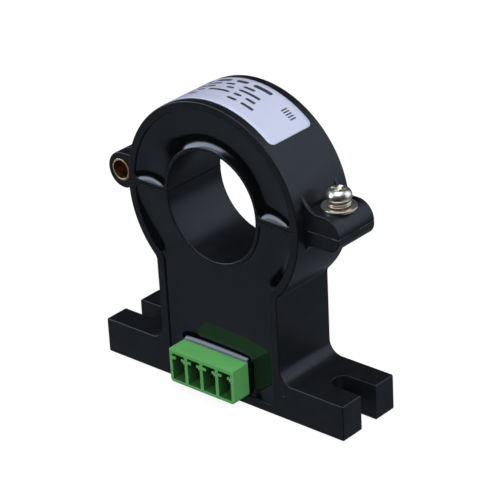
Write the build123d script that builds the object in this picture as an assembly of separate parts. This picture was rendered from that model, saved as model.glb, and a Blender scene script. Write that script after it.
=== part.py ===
# Split-core open-loop hall current sensor with a 21 mm cable aperture, in millimetres.
# X runs along the base, Y from the socket side to the back, Z up.
# The origin is the middle of the underside of the base.
import os
from math import hypot, pi, sqrt

from build123d import *

os.makedirs("parts", exist_ok=True)

# Base and column
base_length = 58.5
base_height = 7.2
body_depth = 14.8
column_width = 29.0
foot_fillet = 2.8  # column side into the top of the base
neck_fillet = 1.5  # ring into the column
edge_break = 0.3  # corners of the base, and outer edges of the front and back faces
slot_width = 4.4  # takes an M4 screw
slot_reach = 7.9  # from the end of the base to the closed end of the slot

# Ring
aperture_radius = 10.5
ring_radius = 20.0
parting_height = 39.2  # plane where the upper half opens
ring_stretch = 0.7  # straight stretch of ring and aperture below the parting plane
parting_gap = 0.12

# Pockets that are filled with resin
rim_wall = 1.7
liner_wall = 0.8  # tube round the aperture
column_wall = 1.9
end_wall = 0.8  # along the parting plane
back_wall = 1.5
pocket_floor = 1.9  # above the underside of the base
pocket_round = 0.8
pocket_neck_round = 2.5
resin_drop = 0.5  # resin below the front rim

# Magnetic core and hall element
core_inner_gap = 0.9  # core to the tube round the aperture
core_outer_gap = 1.1  # core to the outer wall
core_depth = 8.0
core_back_gap = 1.0  # core to the back wall
core_gap = 1.9  # holds the hall element
pole_play = 0.02  # between the closed pole faces
hall_size = (1.5, 4.1, 3.0)
lead_size = 0.45
lead_pitch = 1.27
lead_drop = 2.6  # below the core, for the first lead
lead_step = 1.3  # each further lead reaches this much lower

# Lug with the clamping screw
lug_width = 10.2
lug_reach = 7.8  # beyond the ring
lug_rise = 3.6  # above the parting plane
lug_drop = 3.0  # below it
lug_corner = 2.4  # rounded lower corner
lug_sweep = 3.5  # upper lug into the ring
lug_root = 1.8  # lower lug into the ring
seat_rise = 3.4  # washer seat above the parting plane
seat_half_width = 4.3
screw_reach = 4.0  # screw axis beyond the ring

# Hinge
knuckle_radius = 3.6
knuckle_reach = 4.0  # middle of the knuckle's round beyond the ring
hinge_reach = 4.5  # pin axis beyond the ring
hinge_root = 1.5  # knuckles into the ring
tongue_width = 4.8
hinge_side_gap = 0.1
hinge_pin_radius = 2.15
hinge_pin_wall = 0.35
hinge_play = 0.05  # pin in the tongue

# Screw and washers
screw_radius = 1.25
screw_pitch = 0.45
screw_length = 8.0
screw_hole_play = 0.2
thread_depth = 0.15  # the shank is drawn at the thread's middle
tip_chamfer = 0.3
head_radius = 2.4
head_height = 2.15
head_foot_radius = 2.0
head_foot_height = 0.6
head_shoulder_radius = 2.25
head_shoulder_height = 1.5
head_top_radius = 1.5
recess_length = 2.9
recess_width = 0.75
recess_depth = 1.3
flat_washer_radius = 3.3
flat_washer_thickness = 0.5
spring_wire_width = 0.9
spring_wire_thickness = 0.6
spring_rise = 0.5  # end to end, not yet flattened
spring_turn = 0.94  # share of a full turn
washer_play = 0.15
insert_radius = 1.9
insert_length = 2.6
insert_sink = 0.05

# Socket with four pins
header_pitch = 3.81
header_ways = 4
header_side = 0.3  # outside the outer pitch cells
header_shift = -1.05  # middle of the socket from the middle of the base
header_floor = 2.0
header_height = 6.95
header_reach = 4.27  # in front of the housing
header_wall = 0.75  # between two chambers
header_top_wall = 0.85
header_bottom_wall = 0.6
header_back_wall = 1.5
header_corner = 0.7
key_width = 1.4  # between the two ribs of a chamber
key_height = 0.57
key_slot_height = 0.6
pin_size = 1.0
pin_sink = 1.6  # tip behind the socket's mouth
pin_tail = 1.6  # behind the circuit board
pin_chamfer = 0.2  # at the tip
pin_hole_play = 0.05

# Circuit board and its parts, each as width, height and thickness
board_thickness = 1.6
board_side_gap = 1.0  # to the pocket's side walls
board_floor_gap = 0.7
board_core_gap = 0.9
board_lead_gap = 0.28  # to the hall element's nearest lead
part_gap = 0.6  # between the two rows of parts on the board
solder_gap = 0.9  # from the pins up to the first part
amplifier_size = (4.9, 3.9, 1.5)
amplifier_lead_count = 4
amplifier_lead_reach = 1.05
regulator_size = (4.5, 2.5, 1.5)
regulator_lead_count = 3
regulator_lead_reach = 0.8
package_lead_width = 0.4
package_lead_thickness = 0.2
trimmer_size = (4.4, 4.4, 1.9)
rotor_radius = 1.6
rotor_height = 0.5
rotor_slot = 0.5
capacitor_size = (3.2, 1.6, 1.6)
resistor_size = (2.0, 1.25, 0.5)
resistor_count = 4

# Label
label_angle = 43.0  # either side of the top
label_width = 11.4
label_shift = -0.1
label_thickness = 0.12
label_corner = 1.2

# Places that follow from the sizes above
front = -body_depth / 2
back = body_depth / 2
ring_low_height = parting_height - ring_stretch
upper_cut = parting_height + parting_gap / 2
lower_cut = parting_height - parting_gap / 2
liner_radius = aperture_radius + liner_wall
pocket_radius = ring_radius - rim_wall
pocket_back = back - back_wall
pocket_half_width = column_width / 2 - column_wall
lug_end = ring_radius + lug_reach
screw_offset = ring_radius + screw_reach
knuckle_offset = ring_radius + knuckle_reach
hinge_offset = ring_radius + hinge_reach
core_inner_radius = liner_radius + core_inner_gap
core_outer_radius = pocket_radius - core_outer_gap
core_back = pocket_back - core_back_gap
core_front = core_back - core_depth
core_middle = (core_front + core_back) / 2
resin_front = front + resin_drop
slot_end = base_length / 2 - slot_reach
shank_radius = screw_radius - thread_depth
seat_height = parting_height + seat_rise
spring_height = spring_wire_thickness + spring_rise
header_width = header_ways * header_pitch + 2 * header_side
header_top = header_floor + header_height
header_middle_height = header_floor + header_height / 2
board_back = core_middle - lead_pitch - lead_size / 2 - board_lead_gap
board_front = board_back - board_thickness
header_front = front - header_reach
header_back = board_front
board_floor = pocket_floor + board_floor_gap
board_top = ring_low_height - core_outer_radius - board_core_gap
board_half_width = pocket_half_width - board_side_gap
amplifier_half_height = amplifier_size[1] / 2 + amplifier_lead_reach
low_row = header_middle_height + pin_size / 2 + solder_gap + amplifier_half_height
high_row = low_row + amplifier_half_height + part_gap + capacitor_size[1] / 2
reach = base_length + ring_radius  # larger than anything that is cut away


def area(x_from, x_to, z_from, z_to):
    # A rectangle in X and Z between two corners.
    middle = Pos((x_from + x_to) / 2, (z_from + z_to) / 2)
    return middle * Rectangle(x_to - x_from, z_to - z_from)


def disc(radius, x, z):
    return Pos(x, z) * Circle(radius)


def slab(outline, y_from, y_to):
    # An outline in X and Z, made solid from one Y to another.
    return extrude(Plane.XZ.offset(-y_to) * outline, amount=y_to - y_from)


def block(x_from, x_to, y_from, y_to, z_from, z_to):
    return slab(area(x_from, x_to, z_from, z_to), y_from, y_to)


def post(radius, x, y, z_from, z_to):
    # An upright cylinder.
    return Pos(x, y, (z_from + z_to) / 2) * Cylinder(radius, z_to - z_from)


def corners_near(outline, places):
    # The corners of an outline that lie nearest to the given places.
    return [min(outline.vertices(), key=lambda v: hypot(v.X - x, v.Y - z)) for x, z in places]


def above(outline):
    return outline & area(-reach, reach, upper_cut, reach + parting_height)


def below(outline):
    return outline & area(-reach, reach, -reach, lower_cut)


def upper_round(radius, height):
    return above(disc(radius, 0, height))


def lower_round(radius, height):
    # A half round below the parting plane, with straight sides up to that plane.
    sides = area(-radius, radius, height, parting_height)
    return below(disc(radius, 0, height) + sides)


def outer_edges_broken(solid, size):
    # Chamfers the front and back outlines, and leaves the edges on the parting plane sharp.
    edges = []
    for face in (solid.faces().sort_by(Axis.Y)[0], solid.faces().sort_by(Axis.Y)[-1]):
        for edge in face.outer_wire().edges():
            if abs(edge.center().Z - parting_height) > parting_gap:
                edges.append(edge)
    return chamfer(edges, size)


def lower_body():
    # Base, column and lower half of the ring, moulded in one.
    half_base = base_length / 2
    half_column = column_width / 2
    neck_height = ring_low_height - sqrt(ring_radius**2 - half_column**2)
    outline = lower_round(ring_radius, ring_low_height)
    outline += area(-half_column, half_column, 0, ring_low_height)
    outline += area(-half_base, half_base, 0, base_height)
    outline -= lower_round(aperture_radius, ring_low_height)
    outline = fillet(corners_near(outline, [(-half_column, neck_height), (half_column, neck_height)]), neck_fillet)
    outline = fillet(corners_near(outline, [(-half_column, base_height), (half_column, base_height)]), foot_fillet)
    ends = [(x, z) for x in (-half_base, half_base) for z in (0, base_height)]
    outline = chamfer(corners_near(outline, ends), edge_break)
    return outer_edges_broken(slab(outline, front, back), edge_break)


def corners_rounded(outline, radius):
    # Rounds every corner that points outwards.
    return offset(offset(outline, amount=-radius), amount=radius)


def lower_pocket():
    # The cavity that opens to the front, round the aperture and down the column.
    outline = lower_round(pocket_radius, ring_low_height)
    outline += area(-pocket_half_width, pocket_half_width, pocket_floor, ring_low_height)
    outline &= area(-reach, reach, 0, parting_height - end_wall)
    outline -= lower_round(liner_radius, ring_low_height)
    neck_height = ring_low_height - sqrt(pocket_radius**2 - pocket_half_width**2)
    necks = [(side * pocket_half_width, neck_height) for side in (-1, 1)]
    outline = fillet(corners_near(outline, necks), pocket_neck_round)
    return corners_rounded(outline, pocket_round)


def upper_pocket():
    outline = disc(pocket_radius, 0, parting_height) - disc(liner_radius, 0, parting_height)
    outline &= area(-reach, reach, parting_height + end_wall, parting_height + reach)
    return corners_rounded(outline, pocket_round)


def without_ring(outline, side, height):
    # Keeps what stands out of the ring on one side, with a root inside the ring's wall.
    root = disc(ring_radius - rim_wall / 2, 0, height)
    half = area(0, reach, 0, reach) if side > 0 else area(-reach, 0, 0, reach)
    return (outline & half) - root


def upper_lug():
    # Half-round lug with a seat for the washers between two swept webs.
    round_middle = lug_end - lug_rise
    outline = disc(ring_radius, 0, parting_height)
    outline += area(0, round_middle, parting_height, parting_height + lug_rise)
    outline += disc(lug_rise, round_middle, parting_height)
    corner = (sqrt(ring_radius**2 - lug_rise**2), parting_height + lug_rise)
    outline = fillet(corners_near(outline, [corner]), lug_sweep)
    outline = above(without_ring(outline, 1, parting_height))
    lug = slab(outline, -lug_width / 2, lug_width / 2)
    seat_top = parting_height + ring_radius
    seat = post(seat_half_width, screw_offset, 0, seat_height, seat_top)
    seat += block(0, screw_offset, -seat_half_width, seat_half_width, seat_height, seat_top)
    return lug - seat


def lower_lug():
    # Carries the threaded insert.
    floor = parting_height - lug_drop
    outline = disc(ring_radius, 0, ring_low_height)
    outline += area(0, lug_end, floor, parting_height)
    ring_half = sqrt(ring_radius**2 - (floor - ring_low_height) ** 2)
    outline = fillet(corners_near(outline, [(ring_half, floor)]), lug_root)
    outline = fillet(corners_near(outline, [(lug_end, floor)]), lug_corner)
    outline = below(without_ring(outline, 1, ring_low_height))
    return slab(outline, -lug_width / 2, lug_width / 2)


def fork():
    # Two knuckles on the upper half, flat on top and round below.
    top = parting_height + knuckle_radius
    outline = disc(ring_radius, 0, parting_height)
    outline += area(-knuckle_offset, 0, parting_height, top)
    corner = (-sqrt(ring_radius**2 - knuckle_radius**2), top)
    outline = fillet(corners_near(outline, [corner]), hinge_root)
    outline = above(without_ring(outline, -1, parting_height))
    outline += disc(knuckle_radius, -knuckle_offset, parting_height)
    inner = tongue_width / 2 + hinge_side_gap
    return slab(outline, -lug_width / 2, -inner) + slab(outline, inner, lug_width / 2)


def tongue():
    # The middle knuckle, on the lower half.
    floor = parting_height - knuckle_radius
    outline = disc(ring_radius, 0, ring_low_height)
    outline += area(-knuckle_offset, 0, floor, parting_height)
    ring_half = sqrt(ring_radius**2 - (floor - ring_low_height) ** 2)
    outline = fillet(corners_near(outline, [(-ring_half, floor)]), hinge_root)
    outline = below(without_ring(outline, -1, ring_low_height))
    outline += disc(knuckle_radius, -knuckle_offset, parting_height)
    return slab(outline, -tongue_width / 2, tongue_width / 2)


def hinge_bore(radius):
    return slab(disc(radius, -hinge_offset, parting_height), -lug_width, lug_width)


def base_slot(side):
    # Open at the end of the base, round at its closed end.
    middle = slot_end + slot_width / 2
    ends = sorted((side * middle, side * base_length))
    slot = block(ends[0], ends[1], -slot_width / 2, slot_width / 2, -base_height, 2 * base_height)
    return slot + post(slot_width / 2, side * middle, 0, -base_height, 2 * base_height)


def make_lower_housing():
    housing = lower_body() + lower_lug() + tongue()
    housing -= slab(lower_pocket(), front, pocket_back)
    housing -= make_lower_core(-1) + make_lower_core(1)  # windows for the poles
    housing -= base_slot(-1) + base_slot(1)
    housing -= hinge_bore(hinge_pin_radius + hinge_play)
    insert_top = lower_cut
    insert_floor = insert_top - insert_sink - insert_length
    housing -= post(insert_radius, screw_offset, 0, insert_floor, parting_height)
    hole_radius = screw_radius + screw_hole_play
    housing -= post(hole_radius, screw_offset, 0, parting_height - 2 * lug_drop, parting_height)
    return housing


def make_upper_housing():
    outline = upper_round(ring_radius, parting_height) - upper_round(aperture_radius, parting_height)
    housing = outer_edges_broken(slab(outline, front, back), edge_break)
    housing += upper_lug() + fork()
    housing -= slab(upper_pocket(), front, pocket_back)
    housing -= make_upper_core()  # windows for the poles
    housing -= hinge_bore(hinge_pin_radius)
    hole_radius = screw_radius + screw_hole_play
    housing -= post(hole_radius, screw_offset, 0, parting_height, parting_height + 2 * lug_rise)
    return housing


def make_lower_core(side):
    # A quarter ring with a straight leg up to its pole face.
    outline = disc(core_outer_radius, 0, ring_low_height)
    outline += area(-core_outer_radius, core_outer_radius, ring_low_height, parting_height)
    outline -= disc(core_inner_radius, 0, ring_low_height)
    outline -= area(-core_inner_radius, core_inner_radius, ring_low_height, parting_height)
    pole = parting_height - pole_play / 2
    if side > 0:
        outline &= area(core_gap / 2, reach, 0, pole)
    else:
        outline &= area(-reach, -core_gap / 2, 0, pole)
    return slab(outline, core_front, core_back)


def make_upper_core():
    outline = disc(core_outer_radius, 0, parting_height) - disc(core_inner_radius, 0, parting_height)
    outline &= area(-reach, reach, parting_height + pole_play / 2, parting_height + reach)
    return slab(outline, core_front, core_back)


def make_hall_element():
    # Flat package in the gap of the core, with three leads bent back to the board.
    thickness, width, height = hall_size
    middle_height = ring_low_height - (core_inner_radius + core_outer_radius) / 2
    body_floor = middle_height - height / 2
    element = Pos(0, core_middle, middle_height) * Box(thickness, width, height)
    half = lead_size / 2
    for number in range(3):
        y = core_middle + (number - 1) * lead_pitch
        bend = board_top - lead_drop - number * lead_step
        element += block(-half, half, y - half, y + half, bend - half, body_floor)
        element += block(-half, half, board_back, y + half, bend - half, bend + half)
    return element


def pin_places():
    middle = (header_ways - 1) / 2
    return [header_shift + (number - middle) * header_pitch for number in range(header_ways)]


def make_header():
    # Open chambers with a pair of key ribs near the top, and a hole for each pin.
    x_from = header_shift - header_width / 2
    outline = area(x_from, x_from + header_width, header_floor, header_top)
    lower_corners = [(x_from, header_floor), (x_from + header_width, header_floor)]
    outline = fillet(corners_near(outline, lower_corners), header_corner)
    header = slab(outline, header_front, header_back)
    chamber_half = (header_pitch - header_wall) / 2
    slot_top = header_top - header_top_wall
    rib_top = slot_top - key_slot_height
    rib_floor = rib_top - key_height
    chamber_back = header_back - header_back_wall
    for x in pin_places():
        left, right = x - chamber_half, x + chamber_half
        opening = area(left, right, header_floor + header_bottom_wall, rib_floor)
        opening += area(x - key_width / 2, x + key_width / 2, rib_floor, rib_top)
        opening += area(left, right, rib_top, slot_top)
        header -= slab(opening, header_front, chamber_back)
        header -= make_pin(x)
    return header


def make_pin(x, tip_break=0.0):
    # A square pin from its tip in the socket to its tail behind the board.
    length = board_back + pin_tail - header_front - pin_sink
    middle_y = header_front + pin_sink + length / 2
    pin = Pos(x, middle_y, header_middle_height) * Box(pin_size, length, pin_size)
    if tip_break:
        pin = chamfer(pin.faces().sort_by(Axis.Y)[0].edges(), tip_break)
    return pin


def make_board():
    board = block(-board_half_width, board_half_width, board_front, board_back, board_floor, board_top)
    hole_radius = pin_size / sqrt(2) + pin_hole_play
    for x in pin_places():
        board -= slab(disc(hole_radius, x, header_middle_height), board_front, board_back)
    return board


def on_board(x, z, size, lift=0.0):
    # A block on the back of the board, lifted by its leads where it has some.
    width, height, thickness = size
    floor = board_back + lift
    return block(x - width / 2, x + width / 2, floor, floor + thickness, z - height / 2, z + height / 2)


def make_package(x, z, size, lead_count, lead_reach):
    # A moulded package with flat leads on two sides.
    lead = (package_lead_width, size[1] + 2 * lead_reach, package_lead_thickness)
    package = on_board(x, z, size, package_lead_thickness)
    for number in range(lead_count):
        lead_x = x + (number - (lead_count - 1) / 2) * lead_pitch
        package += on_board(lead_x, z, lead)
    return package


def make_trimmer(x, z):
    # Square single-turn trimmer with a slotted rotor.
    face = board_back + trimmer_size[2]
    trimmer = on_board(x, z, trimmer_size)
    trimmer += slab(disc(rotor_radius, x, z), face, face + rotor_height)
    slot_half = rotor_radius * 0.7
    slot = area(x - slot_half, x + slot_half, z - rotor_slot / 2, z + rotor_slot / 2)
    return trimmer - slab(slot, face + rotor_height / 2, face + rotor_height)


def make_insert():
    # Brass insert with a groove that keeps it in the plastic.
    top = lower_cut - insert_sink
    insert = post(insert_radius, screw_offset, 0, top - insert_length, top)
    return insert - post(screw_radius, screw_offset, 0, top - 2 * insert_length, parting_height)


def make_hinge_pin():
    outline = disc(hinge_pin_radius, -hinge_offset, parting_height)
    outline -= disc(hinge_pin_radius - hinge_pin_wall, -hinge_offset, parting_height)
    return slab(outline, -lug_width / 2, lug_width / 2)


def make_flat_washer():
    top = seat_height + flat_washer_thickness
    washer = post(flat_washer_radius, screw_offset, 0, seat_height, top)
    return washer - post(screw_radius + washer_play, screw_offset, 0, seat_height, top)


def make_spring_washer():
    # One almost full turn of square wire, which rises from end to end.
    inner = screw_radius + washer_play
    mean = inner + spring_wire_width / 2
    path = Helix(pitch=spring_rise / spring_turn, height=spring_rise, radius=mean)
    start = Plane(origin=path @ 0, x_dir=(1, 0, 0), z_dir=path % 0)
    wire = sweep(start * Rectangle(spring_wire_width, spring_wire_thickness), path=path, is_frenet=True)
    floor = seat_height + flat_washer_thickness + spring_wire_thickness / 2
    return Pos(screw_offset, 0, floor) * wire


def make_screw():
    # Pan head with a cross recess. The thread is left smooth at its middle diameter.
    foot = seat_height + flat_washer_thickness + spring_height + pole_play
    profile = Polyline(
        (0, -screw_length),
        (shank_radius - tip_chamfer, -screw_length),
        (shank_radius, tip_chamfer - screw_length),
        (shank_radius, 0),
        (head_foot_radius, 0),
        (head_radius, head_foot_height),
        (head_shoulder_radius, head_shoulder_height),
        (head_top_radius, head_height),
        (0, head_height),
        close=True,
    )
    screw = revolve(Plane.XZ * make_face(profile), Axis.Z)
    for angle in (0, 90):
        wing = Rectangle(recess_length, recess_width)
        point = Rectangle(recess_width / 2, recess_width / 2)
        top = Pos(0, 0, head_height) * wing
        tip = Pos(0, 0, head_height - recess_depth) * point
        screw -= Rot(0, 0, angle) * loft([top, tip])
    return Pos(screw_offset, 0, foot) * screw


def make_label():
    # A thin sheet wrapped over the top of the ring, with rounded corners.
    half = sin_of(label_angle) * (ring_radius + label_thickness)
    sheet = slab(disc(ring_radius + label_thickness, 0, parting_height), -label_width, label_width)
    sheet -= slab(disc(ring_radius, 0, parting_height), -label_width, label_width)
    outline = Pos(0, label_shift, parting_height) * RectangleRounded(2 * half, label_width, label_corner)
    return sheet & extrude(outline, amount=2 * ring_radius)


def sin_of(angle):
    return Vector(0, 1).rotate(Axis.Z, -angle).X


def spread(sizes):
    # The middles of parts laid side by side, with even gaps over the width of the board.
    gap = (2 * board_half_width - sum(size[0] for size in sizes)) / (len(sizes) + 1)
    middles = []
    x = -board_half_width
    for size in sizes:
        middles.append(x + gap + size[0] / 2)
        x += gap + size[0]
    return middles


def make_parts():
    zero_x, amplifier_x, regulator_x, gain_x = spread(
        [trimmer_size, amplifier_size, regulator_size, trimmer_size]
    )
    output_x, *resistor_places, input_x = spread(
        [capacitor_size] + [resistor_size] * resistor_count + [capacitor_size]
    )
    made = {
        "lower_housing": make_lower_housing(),
        "upper_housing": make_upper_housing(),
        "core_lower_left": make_lower_core(-1),
        "core_lower_right": make_lower_core(1),
        "core_upper": make_upper_core(),
        "hall_element": make_hall_element(),
        "circuit_board": make_board(),
        "amplifier_chip": make_package(
            amplifier_x, low_row, amplifier_size, amplifier_lead_count, amplifier_lead_reach
        ),
        "voltage_regulator": make_package(
            regulator_x, low_row, regulator_size, regulator_lead_count, regulator_lead_reach
        ),
        "zero_trimmer": make_trimmer(zero_x, low_row),
        "gain_trimmer": make_trimmer(gain_x, low_row),
        "input_capacitor": on_board(input_x, high_row, capacitor_size),
        "output_capacitor": on_board(output_x, high_row, capacitor_size),
        "terminal_header": make_header(),
        "clamp_insert": make_insert(),
        "hinge_pin": make_hinge_pin(),
        "rating_label": make_label(),
        "flat_washer": make_flat_washer(),
        "spring_washer": make_spring_washer(),
        "clamp_screw": make_screw(),
    }
    for number, x in enumerate(resistor_places, start=1):
        made[f"resistor_{number}"] = on_board(x, high_row, resistor_size)
    for number, x in enumerate(pin_places(), start=1):
        made[f"header_pin_{number}"] = make_pin(x, pin_chamfer)
    return made


def resin(outline, inside):
    # Fills a pocket up to just below its rim, round everything that lies in it.
    filling = slab(outline, resin_front, pocket_back)
    for part in inside:
        filling -= part
    return filling


parts = make_parts()
socket_space = block(
    header_shift - header_width / 2,
    header_shift + header_width / 2,
    header_front,
    header_back,
    header_floor,
    header_top,
)
on_the_board = [
    name
    for name in parts
    if name.startswith(("resistor", "header_pin"))
    or name.endswith(("trimmer", "capacitor", "chip", "regulator", "board", "element"))
]
lower_inside = [parts[name] for name in on_the_board]
lower_inside += [parts["core_lower_left"], parts["core_lower_right"], socket_space]
parts["lower_potting"] = resin(lower_pocket(), lower_inside)
parts["upper_potting"] = resin(upper_pocket(), [parts["core_upper"]])

for name, part in parts.items():
    export_step(part, f"parts/{name}.step")
    print(f"{name}: {part.volume:.1f} mm3")
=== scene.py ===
import bpy
import bmesh
import numpy as np
from math import asin, atan2, ceil, cos, degrees, hypot, pi, radians, sin, sqrt
from mathutils import Matrix, Vector
from mathutils.geometry import delaunay_2d_cdt


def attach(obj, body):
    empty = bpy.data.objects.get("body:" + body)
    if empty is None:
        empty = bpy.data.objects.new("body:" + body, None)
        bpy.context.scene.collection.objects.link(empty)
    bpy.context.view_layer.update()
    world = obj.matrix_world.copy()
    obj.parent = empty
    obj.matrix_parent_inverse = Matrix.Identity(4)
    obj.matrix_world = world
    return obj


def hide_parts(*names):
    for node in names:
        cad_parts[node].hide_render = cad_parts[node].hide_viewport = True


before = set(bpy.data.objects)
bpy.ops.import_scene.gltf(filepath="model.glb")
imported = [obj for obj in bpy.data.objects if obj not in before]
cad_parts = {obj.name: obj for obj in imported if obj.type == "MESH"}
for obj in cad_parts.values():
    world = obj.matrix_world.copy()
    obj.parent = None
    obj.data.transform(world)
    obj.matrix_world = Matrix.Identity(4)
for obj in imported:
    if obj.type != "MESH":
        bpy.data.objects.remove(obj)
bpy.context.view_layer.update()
print("frame loaded:", len(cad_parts), "nodes")

mm = 0.001


# Outlines are lists of points in millimetres, seen from the socket side.

def arc(x, z, radius, start, end, steps=24):
    turn = radians(end - start)
    return [(x + radius * cos(radians(start) + turn * i / steps),
             z + radius * sin(radians(start) + turn * i / steps)) for i in range(steps + 1)]


def mirrored(half):
    return half + [(-x, z) for x, z in reversed(half)]


def tidyOutline(points, nearest=1e-4):
    kept = []
    for p in points:
        if not kept or hypot(p[0] - kept[-1][0], p[1] - kept[-1][1]) > nearest:
            kept.append(p)
    if hypot(kept[0][0] - kept[-1][0], kept[0][1] - kept[-1][1]) <= nearest:
        kept.pop()
    area = sum(a[0] * b[1] - b[0] * a[1] for a, b in zip(kept, kept[1:] + kept[:1]))
    return kept if area > 0 else kept[::-1]


def grown(points, distance, level=None, keep=0.25):
    # moves every side of an outline outwards, the side at the given level only a little
    result = []
    count = len(points)
    for i in range(count):
        p, q, r = Vector(points[i - 1]), Vector(points[i]), Vector(points[(i + 1) % count])
        n1 = Vector(((q - p).y, -(q - p).x)).normalized()
        n2 = Vector(((r - q).y, -(r - q).x)).normalized()
        middle = (n1 + n2).normalized()
        x, z = q + middle * (distance / max(middle.dot(n1), 0.4))  # sharp corners held back
        if level is not None and abs(q.y - level) < 1e-3:
            z = level + (z - level) * keep
        result.append((x, z))
    return result


def box(xFrom, xTo, zFrom, zTo):
    return [(xFrom, zFrom), (xTo, zFrom), (xTo, zTo), (xFrom, zTo)]


def circle(x, z, radius, steps=48):
    return arc(x, z, radius, 0, 360, steps)


def roundedBox(halfWidth, halfHeight, corner, steps, x=0, z=0):
    # rectangle with round corners, its middle at (x, z)
    across, up = halfWidth - corner, halfHeight - corner
    return tidyOutline(sum((arc(x + a * across, z + b * up, corner, start, start + 90, steps)
                            for a, b, start in ((1, 1, 0), (-1, 1, 90), (-1, -1, 180), (1, -1, 270))), []))


def ramp(value, low, high):
    # 0 at low and 1 at high, held beyond both
    return min(1.0, max(0.0, (value - low) / (high - low)))


def blendPoint(centreZ, radius, blendRadius, z, outside=True):
    # middle of a round that touches a circle, at the height z: how far out it lies, and at what angle
    touch = radius + blendRadius if outside else radius - blendRadius
    reach = sqrt(touch * touch - (z - centreZ) ** 2)
    return reach, degrees(atan2(z - centreZ, reach))


def toXZ(x, z, level):
    return Vector((x, level, z)) * mm


def toXY(x, y, level):
    return Vector((x, y, level)) * mm


def newPiece(name, bm):
    bmesh.ops.recalc_face_normals(bm, faces=bm.faces)
    mesh = bpy.data.meshes.new(name)
    bm.to_mesh(mesh)
    bm.free()
    piece = bpy.data.objects.new(name, mesh)
    bpy.context.collection.objects.link(piece)
    return piece


def skinned(name, rings):
    # a piece over rings of points, as many in each; both ends are closed
    bm = bmesh.new()
    rings = [[bm.verts.new(spot) for spot in spots] for spots in rings]
    for low, high in zip(rings, rings[1:]):
        for i in range(len(low)):
            j = (i + 1) % len(low)
            bm.faces.new((low[i], low[j], high[j], high[i]))
    bm.faces.new(rings[0][::-1])
    bm.faces.new(rings[-1])
    return newPiece(name, bm)


def loft(name, levels, place=toXZ):
    # levels are (outline, height) pairs with as many points each
    return skinned(name, [[place(a, b, height) for a, b in outline] for outline, height in levels])


def rollSteps(edge, steps=4):
    # how far in and how far along a rolled edge lies at each step
    return [(edge * (1 - sin(pi / 2 * i / steps)), edge * (1 - cos(pi / 2 * i / steps)))
            for i in range(steps + 1)]


def softSlab(name, outline, low, high, edge, level=None):
    # a slab whose outer edges are rolled over
    outline = tidyOutline(outline)
    roll = rollSteps(edge)
    levels = [(grown(outline, -inwards, level), low + along) for inwards, along in roll]
    levels += [(grown(outline, -inwards, level), high - along) for inwards, along in reversed(roll)]
    return loft(name, levels)


def softCutter(name, outline, low, high, edge=0.25, lowOpen=True, highOpen=False, steps=4, past=0.5,
               place=toXZ):
    # cuts a hole whose mouth is rolled over where it is open
    outline = tidyOutline(outline)
    roll = rollSteps(edge, steps)
    levels = [(outline, low)]
    if lowOpen:
        levels = [(grown(outline, edge), low - past)]
        levels += [(grown(outline, outwards), low + along) for outwards, along in roll]
    if highOpen:
        levels += [(grown(outline, outwards), high - along) for outwards, along in reversed(roll)]
        levels.append((grown(outline, edge), high + past))
    else:
        levels.append((outline, high))
    return loft(name, levels, place)


def lathe(name, profile, origin, axis="Z", steps=64):
    # profile is (radius, height); where it starts and ends on the axis it closes to a point
    bm = bmesh.new()
    rings = []
    for radius, height in profile:
        ring = []
        for i in range(1 if radius < 1e-6 else steps):
            a, b = radius * cos(2 * pi * i / steps), radius * sin(2 * pi * i / steps)
            spot = Vector((a, b, height)) if axis == "Z" else Vector((a, height, b))
            ring.append(bm.verts.new((spot + Vector(origin)) * mm))
        rings.append(ring)
    closed = profile[0][0] > 1e-6
    for one, two in zip(rings, rings[1:] + (rings[:1] if closed else [])):
        for i in range(steps):
            corners = [one[i % len(one)], one[(i + 1) % len(one)], two[(i + 1) % len(two)], two[i % len(two)]]
            bm.faces.new(list(dict.fromkeys(corners)))
    return newPiece(name, bm)


def bakeModifiers(piece):
    bpy.context.view_layer.update()
    final = bpy.data.meshes.new_from_object(piece.evaluated_get(bpy.context.evaluated_depsgraph_get()))
    piece.modifiers.clear()
    piece.data = final


def combine(piece, other, operation):
    change = piece.modifiers.new("combine", "BOOLEAN")
    change.operation = operation
    change.object = other
    change.solver = "EXACT"
    bakeModifiers(piece)
    bpy.data.objects.remove(other)


def cut(piece, *others):
    for other in others:
        combine(piece, other, "DIFFERENCE")


def join(piece, *others):
    for other in others:
        combine(piece, other, "UNION")


def smooth(piece, angle):
    # smooth shading except over edges sharper than the angle, flat faces kept flat
    bm = bmesh.new()
    bm.from_mesh(piece.data)
    bmesh.ops.remove_doubles(bm, verts=bm.verts, dist=2e-7)
    for edge in bm.edges:
        edge.smooth = len(edge.link_faces) == 2 and edge.calc_face_angle(0) < radians(angle)
    for face in bm.faces:
        face.smooth = True
    bm.to_mesh(piece.data)
    bm.free()
    weigh = piece.modifiers.new("flatFaces", "WEIGHTED_NORMAL")
    weigh.keep_sharp = True
    weigh.weight = 80
    bakeModifiers(piece)


def finishPiece(piece, body, material, slot, *nodeNames, angle=32):
    smooth(piece, angle)
    piece.data.materials.clear()
    piece.data.materials.append(material)
    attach(piece, body)
    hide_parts(*nodeNames)
    return piece


# Materials. Scales and bump distances count in metres, from the piece's own coordinates.
# Heights, radii and the label's print are in millimetres.

def addNode(tree, kind, inputs=None, **settings):
    node = tree.nodes.new(kind)
    for name, value in settings.items():
        setattr(node, name, value)
    for name, value in (inputs or {}).items():
        if isinstance(value, bpy.types.NodeSocket):
            tree.links.new(value, node.inputs[name])
        else:
            node.inputs[name].default_value = value
    return node


def doMath(tree, operation, a, b=0.0, c=0.0):
    return addNode(tree, "ShaderNodeMath", {0: a, 1: b, 2: c}, operation=operation).outputs[0]


def times(tree, a, b):
    return doMath(tree, "MULTIPLY", a, b)


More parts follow.
